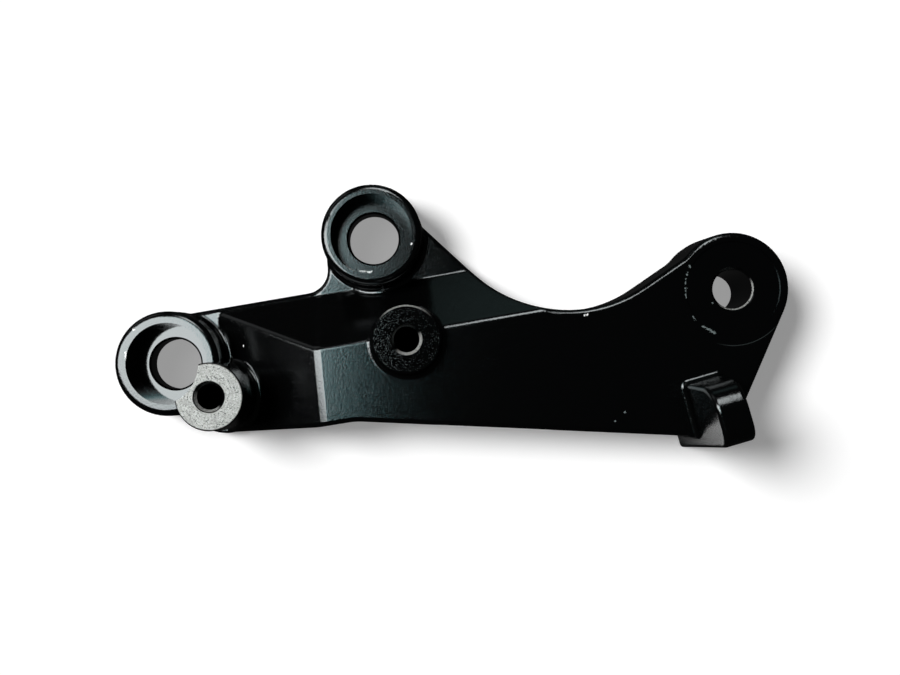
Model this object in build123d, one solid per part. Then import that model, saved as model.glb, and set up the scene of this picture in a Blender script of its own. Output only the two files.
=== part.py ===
from build123d import *
import math
import os

# Lengths are in millimetres and angles in degrees.
# The origin is the axis of the end eye, on the mounting plane z = 0.
# +X runs from the end eye to the pivot eye, +Y to the upper eye, +Z out of the front.

# Places of the other two mounting eyes
upper_eye_x = 41.3
upper_eye_y = 26.1
pivot_x = 113.3
pivot_y = 14.85

# The two bosses that carry the master cylinder
bolt_spacing = 40.0
cylinder_tilt = 16.3
foot_boss_x = 10.3
foot_boss_y = -6.5

# Heights above the mounting plane
back_relief = 0.5
parting_height = 3.0
floor_height = 4.4
plate_height = 15.5
eye_drop = 3.5
boss_stand = 3.8
lug_stand = 15.5
eye_height = plate_height - eye_drop
boss_height = plate_height + boss_stand
lug_height = plate_height + lug_stand

# Casting draft and the radii of its edges
draft = 2.0
edge_radius = 1.0
ridge_radius = 1.5
valley_radius = 1.0

# Bolted eyes
end_eye_radius = 10.9
upper_eye_radius = 10.5
rim_radius = 1.3
eye_foot_radius = 1.0
pad_radius = 9.6
counterbore_diameter = 16.5
counterbore_floor = 4.6
bolt_hole_diameter = 10.5
bolt_hole_chamfer = 0.4

# Pivot eye
pivot_eye_radius = 11.6
pivot_hole_diameter = 7.8
pivot_chamfer = 0.5
spot_radius = 9.4
spot_depth = 0.3

# Master cylinder bosses
boss_radius = 6.7
skirt_radius = 8.1
skirt_height = 3.9
head_foot_radius = 1.2
boss_edge_chamfer = 0.3
boss_draft = 2.5
thread_minor_diameter = 5.0
thread_chamfer_diameter = 6.4
thread_depth = 14.0
drill_point_angle = 118.0

# Ramps between the top face and the floor: one runs out in the saddle, one starts at the end eye
side_ramp_angle = 45.0
side_ramp_x = 35.6
side_ramp_y = 3.8
side_ramp_overlap = 0.4
side_ramp_tail = 4.2
end_ramp_angle = 28.0
end_ramp_turn = 5.4
end_ramp_foot_x = 9.7
end_ramp_foot_y = 0.1

# Outline at the parting plane
top_edge_angle = 9.7
top_edge_offset = 9.95
neck_angle = 95.0
neck_radius = 4.9
flank_angle = 42.6
flank_offset = 8.85
saddle_radius = 25.7
rise_angle = 34.5
rise_offset = 10.85
rise_radius = 6.0
side_angle = 23.2
base_angle = 2.5
base_offset = 14.6
base_reference_x = 100.0
tail_angle = 3.7
tail_setback = 0.15
dip_start_x = 31.0
dip_end_x = 38.5
dip_radius = 12.0

# Lug at the corner of the plate, square to the master cylinder
lug_left = 98.2
lug_width = 7.8
lug_far = -33.0
lug_near = -46.2
lug_draft = 3.5
lug_crown_radius = 5.2
lug_lip_radius = 3.5
lug_edge_radius = 0.8
lug_foot_radius = 1.0
heel_start_x = 104.3
heel_depth = 2.0
heel_radius = 4.0

reach = 150.0
standing = (Align.CENTER, Align.CENTER, Align.MIN)


def heading(angle):
    return Vector(math.cos(math.radians(angle)), math.sin(math.radians(angle)))


def crossing(first, first_angle, second, second_angle):
    """The point where two lines, each given by a point and an angle, meet."""
    along = heading(first_angle)
    other = heading(second_angle)
    gap = second - first
    distance = (gap.X * other.Y - gap.Y * other.X) / (along.X * other.Y - along.Y * other.X)
    return first + along * distance


def tilted(u, v):
    """A point given along and across the master cylinder's bolt line."""
    return heading(cylinder_tilt) * u + heading(cylinder_tilt + 90) * v


end_eye = Vector(0, 0)
upper_eye = Vector(upper_eye_x, upper_eye_y)
pivot = Vector(pivot_x, pivot_y)
foot_boss = Vector(foot_boss_x, foot_boss_y)
head_boss = foot_boss + heading(cylinder_tilt) * bolt_spacing


flank_start = upper_eye + heading(90 - flank_angle) * flank_offset
rise_foot = pivot + heading(rise_angle + 90) * rise_offset
saddle_centre = crossing(
    flank_start + heading(90 - flank_angle) * saddle_radius, -flank_angle,
    rise_foot + heading(rise_angle + 90) * saddle_radius, rise_angle)
saddle_low = saddle_centre - Vector(0, saddle_radius)


def plate_outline():
    """Outline of the plate at the parting plane; its ends lie inside the eyes and the foot boss."""
    top_start = end_eye + heading(top_edge_angle + 90) * top_edge_offset
    neck_end = upper_eye + heading(neck_angle + 90) * (upper_eye_radius - 0.3)
    neck_corner = crossing(top_start, top_edge_angle, neck_end, neck_angle)
    saddle_start = saddle_centre - heading(90 - flank_angle) * saddle_radius
    saddle_end = saddle_centre - heading(rise_angle + 90) * saddle_radius
    side_foot = pivot + heading(-side_angle) * pivot_eye_radius
    base_point = Vector(base_reference_x, -base_offset)
    side_corner = tilted(lug_left + lug_width * 0.6, lug_near + lug_width * 0.4)
    side_point = crossing(side_foot, 90 - side_angle, side_corner, cylinder_tilt)
    heel_end = tilted(lug_left + heel_depth, lug_near)
    heel_start = crossing(base_point, -base_angle, Vector(heel_start_x, 0), 90)
    dip_end = crossing(base_point, -base_angle, Vector(dip_end_x, 0), 90)
    tail_end = foot_boss - heading(90 + tail_angle) * (skirt_radius - tail_setback)
    dip_start = crossing(tail_end, tail_angle, Vector(dip_start_x, 0), 90)
    edges = [
        Line(end_eye, top_start),
        Line(top_start, neck_corner),
        Line(neck_corner, neck_end),
        Line(neck_end, upper_eye),
        Line(upper_eye, flank_start),
        Line(flank_start, saddle_start),
        ThreePointArc(saddle_start, saddle_low, saddle_end),
        Line(saddle_end, rise_foot),
        Line(rise_foot, pivot),
        Line(pivot, side_foot),
        Line(side_foot, side_point),
        Line(side_point, side_corner),
        Line(side_corner, heel_end),
        Line(heel_end, heel_start),
        Line(heel_start, dip_end),
        Line(dip_end, dip_start),
        Line(dip_start, tail_end),
        Line(tail_end, foot_boss),
        Line(foot_boss, end_eye),
    ]
    outline = make_face(edges) + Pos(pivot) * Circle(pivot_eye_radius)
    run = math.sqrt(pivot_eye_radius ** 2 - rise_offset ** 2)
    rise_corner = rise_foot - heading(rise_angle) * run
    rounds = [
        (rise_corner, rise_radius),
        (neck_corner, neck_radius),
        (heel_start, heel_radius),
        (dip_end, dip_radius),
        (dip_start, dip_radius),
    ]
    for corner, radius in rounds:
        outline = fillet(outline.vertices().sort_by_distance(corner)[0], radius)
    return outline


def ramp_cut(foot, turn, angle):
    """Space above the plane that rises at an angle from a line through the foot point."""
    edge = heading(turn)
    fall = heading(turn + 90) * math.sin(math.radians(angle))
    normal = Vector(fall.X, fall.Y, math.cos(math.radians(angle)))
    plane = Plane(origin=foot, x_dir=(edge.X, edge.Y, 0), z_dir=normal)
    return plane * Box(4 * reach, 4 * reach, 2 * reach, align=standing)


def slab(height):
    return Pos(0, 0, -reach) * Box(2 * reach, 2 * reach, reach + height, align=standing)


def front_form():
    """Everything below the front surfaces: the low floor, the two ramps and the top face."""
    run_out = saddle_low + Vector(0, side_ramp_overlap)
    side_turn = math.degrees(math.atan2(run_out.Y - side_ramp_y, run_out.X - side_ramp_x))
    side_cut = ramp_cut((side_ramp_x, side_ramp_y, plate_height), side_turn, side_ramp_angle)
    side_cut -= Pos(run_out.X + side_ramp_tail, 0, -reach) * Box(
        8 * reach, 8 * reach, 8 * reach, align=(Align.MIN, Align.CENTER, Align.CENTER))
    end_foot = (end_ramp_foot_x, end_ramp_foot_y, floor_height)
    end_cut = ramp_cut(end_foot, 90 + end_ramp_turn, end_ramp_angle)
    form = slab(plate_height) - side_cut - end_cut + slab(floor_height)
    form = fillet(inner_edges(form, floor_height + 1, plate_height), ridge_radius)
    return fillet(inner_edges(form, floor_height, floor_height), valley_radius)


def inner_edges(form, low, high):
    """Edges of the form between two heights that cross the plate."""
    return form.edges().filter_by(
        lambda edge: abs(edge.center().X) < reach - 1
        and abs(edge.center().Y) < reach - 1
        and edge.bounding_box().min.X < saddle_low.X + side_ramp_tail - 1
        and low - 0.01 < edge.center().Z < high + 0.01)


def drafted(profile, top, bottom):
    """The profile drawn up and down from the parting plane with the casting draft."""
    seated = Pos(0, 0, parting_height) * profile
    lower = extrude(seated, amount=parting_height - bottom, taper=draft)
    upper = extrude(seated, amount=top - parting_height, taper=draft)
    return lower + mirror(upper, Plane.XY.offset(parting_height))


def drawn_in(height):
    """How far a drafted wall has come in at a height above or below the parting plane."""
    return abs(height - parting_height) * math.tan(math.radians(draft))


def rim_edges(plate):
    """Edges between the walls and the front that the eyes and the foot boss leave in sight."""
    walls = plate.faces().filter_by(lambda face: abs(face.normal_at().Z) < 0.2)
    fronts = plate.faces().filter_by(lambda face: face.normal_at().Z > 0.2)
    rim = fronts.edges().filter_by(lambda edge: edge in walls.edges())
    return rim.filter_by(lambda edge: not hidden(edge))


def hidden(edge):
    """True for an edge that starts in a bolted eye, or lies in the foot boss."""
    for eye in (end_eye, upper_eye):
        if min(gap(edge @ 0, eye), gap(edge @ 1, eye)) < bolt_hole_diameter:
            return True
    return max(gap(edge @ 0, foot_boss), gap(edge @ 1, foot_boss)) < skirt_radius


def gap(point, centre):
    return math.hypot(point.X - centre.X, point.Y - centre.Y)


def plate_body():
    """The plate with its front surfaces and a round along the whole rim."""
    plate = drafted(plate_outline(), plate_height + 1, back_relief) & front_form()
    plate = plate.solids()[0]
    return fillet(rim_edges(plate), edge_radius)


def lathed(points, rounds):
    """A body turned about Z; each round is a corner of the profile and its radius."""
    profile = make_face(Polyline(*points, close=True))
    for corner, radius in rounds:
        profile = fillet(profile.vertices().sort_by_distance(corner)[0], radius)
    return revolve(Plane.XZ * profile, Axis.Z)


def bolted_eye(radius):
    """A round eye: a machined pad behind, drafted walls and a rounded rim."""
    foot = radius - drawn_in(back_relief)
    head = radius - drawn_in(eye_height)
    points = [
        (0, 0), (pad_radius, 0), (pad_radius, back_relief), (foot, back_relief),
        (radius, parting_height), (head, eye_height), (0, eye_height)]
    return lathed(points, [((head, eye_height), rim_radius)])


def eye_bore():
    """Clearance hole and counterbore of a bolted eye, each with a broken edge."""
    hole = bolt_hole_diameter / 2
    bore = counterbore_diameter / 2
    points = [
        (0, -1), (hole, -1), (hole, counterbore_floor - bolt_hole_chamfer),
        (hole + bolt_hole_chamfer, counterbore_floor), (bore, counterbore_floor),
        (bore, boss_height + 1), (0, boss_height + 1)]
    return lathed(points, [])


def cylinder_boss(base, rounds=()):
    """A boss with a faced top and a broken edge; the base points lie under its wall."""
    slope = math.tan(math.radians(boss_draft))
    foot = base[-1][1]
    points = base + [
        (boss_radius + (boss_height - foot) * slope, foot),
        (boss_radius + boss_edge_chamfer * slope, boss_height - boss_edge_chamfer),
        (boss_radius - boss_edge_chamfer, boss_height), (0, boss_height)]
    return lathed(points, rounds)


def head_stem():
    """The boss on the top face, which starts a little inside the plate."""
    return at(head_boss, cylinder_boss([(0, floor_height)]))


def foot_stem():
    """The boss beside the end eye, with the round skirt that closes the plate below it."""
    skirt = skirt_radius - drawn_in(skirt_height)
    wall = boss_radius + (boss_height - skirt_height) * math.tan(math.radians(boss_draft))
    base = [(0, back_relief), (skirt_radius - drawn_in(back_relief), back_relief),
            (skirt_radius, parting_height), (skirt, skirt_height)]
    return at(foot_boss, cylinder_boss(base, [((skirt, skirt_height), 0.8 * (skirt - wall))]))


def threaded_hole():
    """Blind tapping drill hole with its drill point and a countersunk mouth."""
    core = thread_minor_diameter / 2
    mouth = thread_chamfer_diameter / 2
    floor = boss_height - thread_depth
    point = floor - core / math.tan(math.radians(drill_point_angle / 2))
    points = [
        (0, point), (core, floor), (core, boss_height - (mouth - core)),
        (mouth + 1, boss_height + 1), (0, boss_height + 1)]
    return lathed(points, [])


def pivot_bore():
    """The pivot's hole with both mouths broken, and the shallow spot face round it."""
    hole = pivot_hole_diameter / 2
    mouth = hole + pivot_chamfer
    points = [
        (0, -1), (mouth + 1, -1), (hole, pivot_chamfer),
        (hole, plate_height - spot_depth - pivot_chamfer), (mouth, plate_height - spot_depth),
        (spot_radius, plate_height - spot_depth), (spot_radius, plate_height + 1),
        (0, plate_height + 1)]
    return lathed(points, [])


def pivot_pad():
    foot = pivot_eye_radius - drawn_in(back_relief) - edge_radius
    return Pos(pivot.X, pivot.Y) * Cylinder(foot, parting_height, align=standing)


def lug_block(low, high, margin):
    """A block on the lug's plan, with a margin all round."""
    middle = tilted(lug_left + lug_width / 2, (lug_far + lug_near) / 2)
    size = (lug_width + margin, lug_far - lug_near + margin, high - low)
    return Pos(middle.X, middle.Y, low) * Rot(0, 0, cylinder_tilt) * Box(*size, align=standing)


def corner_lug():
    """Upstanding lug with drafted walls, a round crown at the far end and a lip at the near end."""
    long_side = lug_far - lug_near
    middle = tilted(lug_left + lug_width / 2, (lug_far + lug_near) / 2)
    grown = 2 * (plate_height - back_relief) * math.tan(math.radians(lug_draft))
    base = Rectangle(lug_width + grown, long_side + grown)
    block = extrude(Pos(0, 0, back_relief) * base, amount=lug_height - back_relief, taper=lug_draft)
    across = block.faces().sort_by(Axis.Z)[-1].edges().filter_by(Axis.X).sort_by(Axis.Y)
    block = fillet(across[-1], lug_crown_radius)
    across = block.faces().sort_by(Axis.Z)[-1].edges().filter_by(Axis.X).sort_by(Axis.Y)
    block = fillet(across[0], lug_lip_radius)
    sides = block.faces().filter_by(lambda face: abs(face.normal_at().X) > 0.9)
    borders = sides.edges().filter_by(lambda edge: edge.center().Z > back_relief + 0.1)
    block = fillet(borders, lug_edge_radius)
    return Pos(middle.X, middle.Y) * Rot(0, 0, cylinder_tilt) * block


def lug_foot(lug):
    """The fillet where the lug leaves the top face, cut off at the plate's walls."""
    grown = 2 * (plate_height - back_relief) * math.tan(math.radians(lug_draft))
    ground = lug_block(floor_height, plate_height, grown + 2.2 * lug_foot_radius)
    joined = (ground + lug).solids()[0]
    feet = new_edges(ground, lug, combined=joined).filter_by(
        lambda edge: edge.bounding_box().min.Z > plate_height - 0.01)
    walls = drafted(plate_outline(), plate_height + 2 * lug_foot_radius, floor_height)
    return fillet(feet, lug_foot_radius) & walls


def at(centre, solid):
    return Pos(centre.X, centre.Y) * solid


def rooted(plate, stem, radius):
    """The stem joined to the plate, with a fillet where it leaves the front."""
    joined = (plate + stem).solids()[0]
    feet = new_edges(plate, stem, combined=joined).filter_by(
        lambda edge: edge.bounding_box().min.Z > floor_height - 0.01)
    return fillet(feet, radius).solids()[0]


def mounting_plate():
    plate = plate_body()
    plate = rooted(plate, bolted_eye(end_eye_radius) + foot_stem(), eye_foot_radius)
    plate = rooted(plate, head_stem(), head_foot_radius)
    plate = rooted(plate, at(upper_eye, bolted_eye(upper_eye_radius)), eye_foot_radius)
    lug = corner_lug()
    plate = plate + lug + lug_foot(lug)
    plate += pivot_pad()
    plate -= eye_bore()
    plate -= at(upper_eye, eye_bore())
    plate -= at(pivot, pivot_bore())
    plate -= at(foot_boss, threaded_hole())
    plate -= at(head_boss, threaded_hole())
    return plate


os.makedirs("parts", exist_ok=True)
part = mounting_plate().solids()[0]
part.label = "mounting_plate"
export_step(part, "parts/mounting_plate.step")
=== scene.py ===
import bpy
import math
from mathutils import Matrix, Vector

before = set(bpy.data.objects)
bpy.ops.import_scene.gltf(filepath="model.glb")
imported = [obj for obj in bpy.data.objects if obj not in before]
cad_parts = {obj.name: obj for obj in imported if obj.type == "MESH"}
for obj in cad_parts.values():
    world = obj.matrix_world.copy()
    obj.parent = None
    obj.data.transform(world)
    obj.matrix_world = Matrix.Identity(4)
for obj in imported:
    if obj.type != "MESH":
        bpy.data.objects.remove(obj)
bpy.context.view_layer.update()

# The casting.
# One piece of aluminium, cast, blasted and coated in black, with the bolt faces cut afterwards.
# The coat is glossy with a fine grain; the foot boss face is bare, and handling has left chips.
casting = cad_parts["mounting_plate"]
coat_black = (0.0009, 0.0010, 0.0011, 1.0)
coat_tint = (0.92, 0.99, 1.0, 1.0)
coat_roughness = 0.1
bare_grey = (0.42, 0.43, 0.41, 1.0)
bare_dark = (0.20, 0.20, 0.19, 1.0)
pit_dark = (0.05, 0.05, 0.05, 1.0)
chip_grey = (0.80, 0.80, 0.79, 1.0)
# Grey of the streaks and flecks, and of the painted highlight arc at the pivot
mark_and_highlight_grey = (0.13, 0.16, 0.16, 1.0)
end_eye = (0.0, 0.0)
upper_eye = (0.0413, 0.0261)
pivot = (0.1133, 0.01485)
foot_boss = (0.0103, -0.0065)
head_boss = (0.04869, 0.00473)
boss_face = 0.0193
boss_radius = 0.0067
counterbore_radius = 0.0082
just_below_counterbore_floor = 0.0045
soft_edge = 0.0001

coat = bpy.data.materials.new("black_coat")
coat.use_nodes = True
shader = coat.node_tree.nodes["Principled BSDF"]

# The functions below add their nodes to this tree
tree = coat.node_tree


def join(source, socket):
    """Sets a socket to a number or a colour, or links it to another node."""
    if isinstance(source, bpy.types.NodeSocket):
        tree.links.new(source, socket)
    else:
        socket.default_value = source


def maths(operation, *terms):
    """One sum, carried on from left to right where it has more than two terms."""
    node = tree.nodes.new("ShaderNodeMath")
    node.operation = operation
    for term, socket in zip(terms[:2], node.inputs):
        join(term, socket)
    if len(terms) > 2:
        return maths(operation, node.outputs["Value"], *terms[2:])
    return node.outputs["Value"]


def plus(*terms):
    return maths("ADD", *terms)


def minus(first, second):
    return maths("SUBTRACT", first, second)


def times(*terms):
    return maths("MULTIPLY", *terms)


def either(*masks):
    return maths("MAXIMUM", *masks)


def step(value, low, high):
    """Rises softly from 0 at low to 1 at high, or falls where high is the lower one."""
    node = tree.nodes.new("ShaderNodeMapRange")
    node.interpolation_type = "SMOOTHSTEP"
    join(value, node.inputs["Value"])
    node.inputs["From Min"].default_value = low
    node.inputs["From Max"].default_value = high
    return node.outputs["Result"]


def blend(share, first, second):
    node = tree.nodes.new("ShaderNodeMix")
    node.data_type = "RGBA"
    join(share, node.inputs["Factor"])
    join(first, node.inputs["A"])
    join(second, node.inputs["B"])
    return node.outputs["Result"]


def own_place():
    """Where a point lies on its object: the whole, and its X, Y and Z."""
    whole = tree.nodes.new("ShaderNodeTexCoord").outputs["Object"]
    split = tree.nodes.new("ShaderNodeSeparateXYZ")
    join(whole, split.inputs[0])
    return whole, *split.outputs


place, place_x, place_y, height = own_place()


def grain(size, detail=2.0):
    """Noise with grains of a size in metres, from 0 to 1."""
    node = tree.nodes.new("ShaderNodeTexNoise")
    join(place, node.inputs["Vector"])
    node.inputs["Scale"].default_value = 1.0 / size
    node.inputs["Detail"].default_value = detail
    return node.outputs["Fac"]


def distance(across, along):
    return maths("SQRT", plus(times(across, across), times(along, along)))


def away_from(axis):
    """Distance from an upright axis."""
    return distance(minus(place_x, axis[0]), minus(place_y, axis[1]))


def level(low, high):
    """The stretch between two heights."""
    edge = 0.00003
    return times(step(height, low - edge, low + edge), step(height, high + edge, high - edge))


fine = grain(0.00012)
peel = grain(0.00035, 4.0)
patchy = grain(0.0012)
on_boss_face = step(height, boss_face - 0.00012, boss_face - 0.00008)

# Turned faces: the floor of the end eye's counterbore and both boss faces
turned = either(*(
    times(step(away_from(axis), radius + soft_edge, radius), level(low, low + 0.0004))
    for axis, radius, low in (
        (end_eye, counterbore_radius, just_below_counterbore_floor),
        (foot_boss, boss_radius, boss_face - 0.0002),
        (head_boss, boss_radius, boss_face - 0.0002),
    )
))

# Bare face of the foot boss, with faint tool rings, pits and dark specks
ring_pitch = 0.0006
ring_depth = 0.018
from_foot = away_from(foot_boss)
foot_face = times(step(from_foot, boss_radius + 0.00002, boss_radius - 0.00002), on_boss_face)
rings = times(maths("SINE", times(from_foot, 2 * math.pi / ring_pitch)), ring_depth)
pits = step(plus(times(fine, 0.75), times(patchy, 0.25), rings), 0.43, 0.60)
specks = step(plus(grain(0.00024, 1.0), times(patchy, 0.15)), 0.66, 0.74)
bare_colour = blend(specks, blend(pits, bare_dark, bare_grey), pit_dark)

# Painted highlights: arcs of bare metal in the mouths of the holes and on the head boss's edge, each
# only on the side that catches the light
# Axis, lit side, inner and outer radius, lowest height, and how narrow the arc is
highlight_arcs = (
    (foot_boss, (-0.55, -0.83), 0.00255, 0.0029, boss_face - 0.0009, 0.05),
    (head_boss, (0.6, -0.8), 0.0026, 0.00305, boss_face - 0.0009, 0.05),
    (head_boss, (-0.05, 1.0), 0.00645, 0.00668, boss_face - 0.0005, 0.6),
    (pivot, (0.6, -0.8), 0.00400, 0.00415, 0.0145, 0.05),
)
# The bare foot face, joined by the painted highlight arcs
bare_and_highlight = foot_face
for axis, side, inner, outer, low, narrow in highlight_arcs:
    away = away_from(axis)
    sideways = plus(times(minus(place_x, axis[0]), side[0]), times(minus(place_y, axis[1]), side[1]))
    highlight_arc = times(
        step(away, outer + soft_edge, outer),
        step(away, inner - soft_edge, inner),
        step(maths("DIVIDE", sideways, away), narrow, narrow + 0.4),
        step(height, low, low + soft_edge),
    )
    bare_and_highlight = either(bare_and_highlight, highlight_arc)

# Flecks on the coated face of the head boss, closest on its left
fleck_side = times(step(place_x, 0.0505, 0.0425), 0.06)
flecks = times(
    step(plus(grain(0.00013, 1.0), fleck_side), 0.69, 0.76),
    0.9,
    step(away_from(head_boss), boss_radius - 0.0001, boss_radius - 0.0003),
    on_boss_face,
)

# Chips, down to the bright metal: both ends, height and width of each
chips = (
    ((-0.00809, 0.0006), (-0.0082, 0.0022), 0.012, 0.00022),
    ((-0.00647, 0.00699), (-0.0066, 0.0067), 0.012, 0.00018),
    ((0.08395, 0.00963), (0.0844, 0.0098), 0.0155, 0.0003),
    ((0.0147, 0.00364), (0.0147, 0.0037), 0.0075, 0.0002),
    ((0.04736, 0.02937), (0.0474, 0.0294), 0.0118, 0.00018),
    ((0.04937, 0.02412), (0.0494, 0.0242), 0.0118, 0.0002),
    ((0.0352, 0.0204), (0.0371, 0.0195), 0.0046, 0.00022),
    ((0.0383, 0.0194), (0.0408, 0.0192), 0.0046, 0.00026),
)

# Light grey streaks on the top face, most of them in a ring round the pivot
grey_streaks = (
    ((0.1046, 0.0194), (0.1047, 0.0192), 0.0153, 0.00019),
    ((0.1043, 0.0181), (0.1042, 0.0175), 0.0153, 0.00016),
    ((0.1039, 0.0167), (0.1039, 0.0158), 0.0153, 0.00017),
    ((0.1040, 0.0150), (0.1040, 0.0131), 0.0153, 0.0002),
    ((0.1052, 0.0096), (0.1059, 0.0086), 0.0153, 0.00018),
    ((0.1073, 0.0074), (0.1081, 0.0071), 0.0153, 0.0002),
    ((0.1081, 0.0070), (0.1096, 0.0061), 0.0153, 0.0003),
    ((0.1093, 0.0121), (0.1094, 0.0121), 0.0153, 0.00016),
    ((0.09187, -0.00958), (0.0919, -0.0096), 0.0155, 0.00018),
    ((0.08989, -0.01137), (0.0899, -0.0114), 0.0155, 0.00018),
)
ragged = times(minus(grain(0.00035, 3.0), 0.5), 0.0011)


def mark(start, end, top, width):
    """A short streak with ragged edges."""
    run = Vector(end) - Vector(start)
    ahead = run.normalized()
    across = minus(place_x, start[0])
    along = minus(place_y, start[1])
    travel = plus(times(across, ahead.x), times(along, ahead.y))
    travel = maths("MINIMUM", maths("MAXIMUM", travel, 0.0), run.length)
    away = distance(minus(across, times(travel, ahead.x)), minus(along, times(travel, ahead.y)))
    return times(step(plus(away, ragged), width, width * 0.3), level(top - 0.0006, top + 0.0006))


chipped = either(*(mark(*chip) for chip in chips))

# Painted highlight: a faint light arc at the lower right of the pivot, along the edge of its disc
arc_radius = 0.01128
arc_width = 0.00013
from_pivot = away_from(pivot)
pivot_highlight_arc = times(
    step(from_pivot, arc_radius - arc_width, arc_radius),
    step(from_pivot, arc_radius + arc_width, arc_radius),
    step(maths("DIVIDE", minus(pivot[1], place_y), from_pivot), 0.45, 0.9),
    0.2,
    step(height, 0.0150, 0.0152),
    step(place_x, 0.1095, 0.1135),
)
# Grey marks: the streaks, the flecks and the painted highlight arc at the pivot
marked_and_highlit = either(*(mark(*grey_streak) for grey_streak in grey_streaks), flecks, pivot_highlight_arc)

# Metal: the bare foot face, the chips and the painted highlight arcs
metal_and_highlight = either(bare_and_highlight, chipped)
metal_colour = blend(chipped, bare_colour, chip_grey)
join(blend(marked_and_highlit, blend(metal_and_highlight, coat_black, metal_colour), mark_and_highlight_grey), shader.inputs["Base Color"])
join(times(metal_and_highlight, 0.35), shader.inputs["Metallic"])
dull = times(either(metal_and_highlight, marked_and_highlit), 0.5)
join(plus(minus(dull, times(turned, 0.04)), coat_roughness), shader.inputs["Roughness"])
shader.inputs["Specular Tint"].default_value = coat_tint

# Grain of the coat, nearly gone on the turned faces
fine_depth = 0.000009
peel_depth = 0.0000225
cast_relief = plus(times(fine, fine_depth), times(peel, peel_depth))
relief = times(cast_relief, minus(1.0, times(turned, 0.9)))

# The ridge at the head of the end ramp is worn round
ramp_foot = (0.0097, 0.0001)
ramp_rise = 0.0111
ramp_slope = math.radians(28.0)
ridge_turn = math.radians(5.4)
worn_depth = 0.00021
ridge_run = plus(times(place_x, math.cos(ridge_turn)), times(place_y, math.sin(ridge_turn)))
foot_line = ramp_foot[0] * math.cos(ridge_turn) + ramp_foot[1] * math.sin(ridge_turn)
ridge_line = foot_line + ramp_rise / math.tan(ramp_slope)
worn_round = times(step(ridge_run, ridge_line - 0.0001, ridge_line + 0.0012), worn_depth)

bump = tree.nodes.new("ShaderNodeBump")
bump.inputs["Strength"].default_value = 1.0
bump.inputs["Distance"].default_value = 1.0
join(plus(relief, worn_round), bump.inputs["Height"])
join(bump.outputs["Normal"], shader.inputs["Normal"])
casting.data.materials.clear()
casting.data.materials.append(coat)

# The sheet that it lies on.
# White paper on a table, smooth and matt, lit to pure white round the part and greyer in the holes,
# where a grey glowing disc is painted shade.
# The gloss of the coat doesn't show the sheet: a small lamp stands in for its light.
paper_size = 1.2
paper_middle = (0.055, 0.0, -0.00005)
paper_white = 0.9
paper_glow = 0.27
shaded_white = 0.06
shaded_glow = 0.31
shade_radius = 0.0065
shade_end = 0.0075

bpy.ops.mesh.primitive_plane_add(size=paper_size, location=paper_middle)
sheet = bpy.context.object
sheet.name = "paper_sheet"
paper = bpy.data.materials.new("white_paper")
paper.use_nodes = True
tree = paper.node_tree
paper_shader = tree.nodes["Principled BSDF"]
paper_shader.inputs["Roughness"].default_value = 1.0
paper_shader.inputs["Specular IOR Level"].default_value = 0.0
place, place_x, place_y, height = own_place()
# Painted shade: under each hole the sheet is dark and glows a little more, so it reads grey whatever
# the light
shade = either(*(
    step(away_from((x - paper_middle[0], y)), shade_end, shade_radius)
    for x, y in (end_eye, upper_eye, pivot)
))
for socket, open_tone, shaded_tone in (
        ("Base Color", paper_white, shaded_white), ("Emission Color", paper_glow, shaded_glow)):
    tones = [(tone, tone, tone, 1.0) for tone in (open_tone, shaded_tone)]
    join(blend(shade, *tones), paper_shader.inputs[socket])
paper_shader.inputs["Emission Strength"].default_value = 1.0
sheet.data.materials.append(paper)
sheet.visible_glossy = False
sheet.visible_shadow = False

# The lamps.
# Soft panels hang to the left of the part and beyond it, and what is straight above stays dark.
# They make the shine on the coat; a broad key lamp from the upper left makes the shadow.
aim = Vector((0.055, 0.0, 0.0))
key_from = Vector((-0.74, 0.30, 1.0))
blue_green = (0.50, 1.0, 1.06)
far_green = (0.68, 1.0, 0.98)
far_right = 0.17


def soft_panel(name, middle, width, depth, radiance, colour=(1.0, 1.0, 1.0)):
    """A panel that faces down and is seen only as shine."""
    lamp = bpy.data.lights.new(name, "AREA")
    lamp.shape = "RECTANGLE"
    lamp.size = width
    lamp.size_y = depth
    lamp.energy = radiance * math.pi * width * depth
    lamp.color = colour
    panel = bpy.data.objects.new(name, lamp)
    panel.location = middle
    panel.visible_diffuse = False
    bpy.context.collection.objects.link(panel)
    return panel


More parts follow.
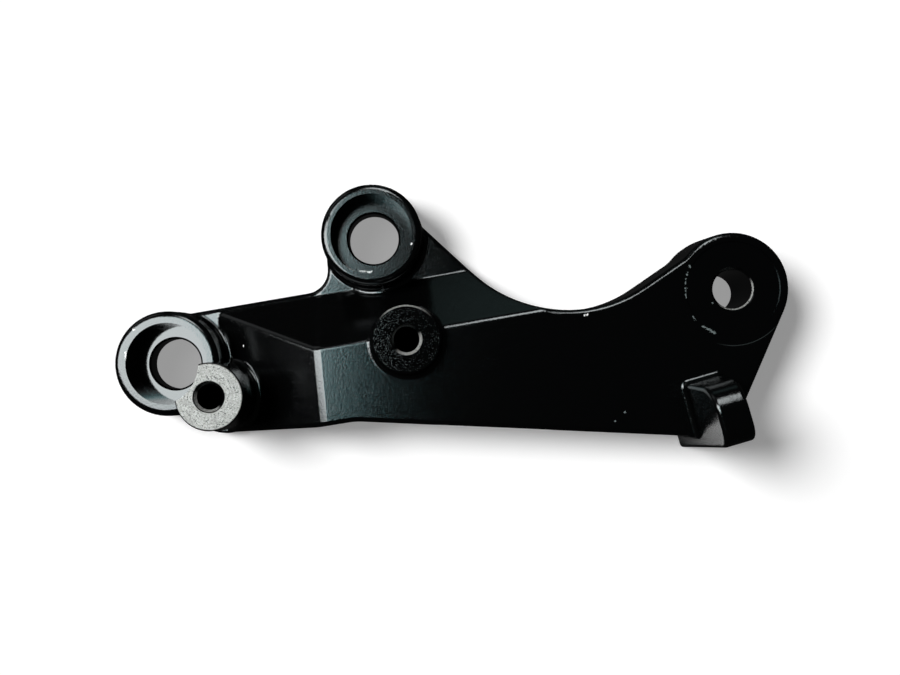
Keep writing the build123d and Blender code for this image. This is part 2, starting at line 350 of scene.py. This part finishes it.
soft_panel("left_panel", (-0.37, 0.07, 0.5), 0.6, 0.26, 13.5)
soft_panel("left_edge_panel", (-0.058, 0.07, 0.5), 0.028, 0.26, 9.5, blue_green)
soft_panel("rim_panel", (-0.029, 0.095, 0.499), 0.03, 0.06, 7.0)
soft_panel("far_panel", (0.07, 0.52, 0.5), 0.2, 0.44, 9.6)

# Strips that overlap stand beyond the part, so their light grows to the right
for left in (-0.06, -0.035, -0.01, 0.015, 0.04, 0.065, 0.09):
    middle = ((left + far_right) / 2, 0.6, 0.0)
    strip = soft_panel("far_strip", middle, far_right - left, 0.1, 0.27, far_green)
    strip.rotation_euler = (math.radians(-90), 0.0, 0.0)
corner_panel = soft_panel("corner_panel", (-0.4, 0.45, 0.16), 0.4, 0.3, 0.4)
corner_panel.rotation_euler = (aim - corner_panel.location).to_track_quat("-Z", "Y").to_euler()
table_panel = soft_panel("table_panel", (0.069, -0.035, -0.05), 0.03, 0.05, 1.3)
table_panel.rotation_euler = (math.radians(180), 0.0, 0.0)

key = bpy.data.objects.new("key_lamp", bpy.data.lights.new("key_lamp", "SUN"))
key.data.energy = 3.4
key.data.angle = math.radians(24)
key.rotation_euler = (-key_from).to_track_quat("-Z", "Y").to_euler()
key.visible_glossy = False
bpy.context.collection.objects.link(key)

# The room.
# Dim walls all round, far from the part.
# They give only a trace of light, so the coat stays black where no panel shows in it.
room = bpy.data.worlds.new("room")
bpy.context.scene.world = room
room.use_nodes = True
room_light = room.node_tree.nodes["Background"]
room_light.inputs["Color"].default_value = (1.0, 1.0, 1.0, 1.0)
room_light.inputs["Strength"].default_value = 0.014

# The camera.
# It looks straight down from 212 mm above the sheet, a little to the left and below the middle.
# Focal length and shift are in pixels of the picture, which is 900 wide.
picture_width = 900.0
focal_length = 992.0
shift_right = 9.0
shift_up = 28.5
camera = bpy.data.objects.new("camera", bpy.data.cameras.new("camera"))
camera.data.sensor_width = 36.0
camera.data.lens = camera.data.sensor_width * focal_length / picture_width
camera.data.shift_x = shift_right / picture_width
camera.data.shift_y = shift_up / picture_width
camera.data.clip_start = 0.01
camera.data.clip_end = 20.0
camera.location = (0.05542, -0.000473, 0.212)
bpy.context.collection.objects.link(camera)
bpy.context.scene.camera = camera
bpy.context.scene.view_settings.view_transform = "Standard"
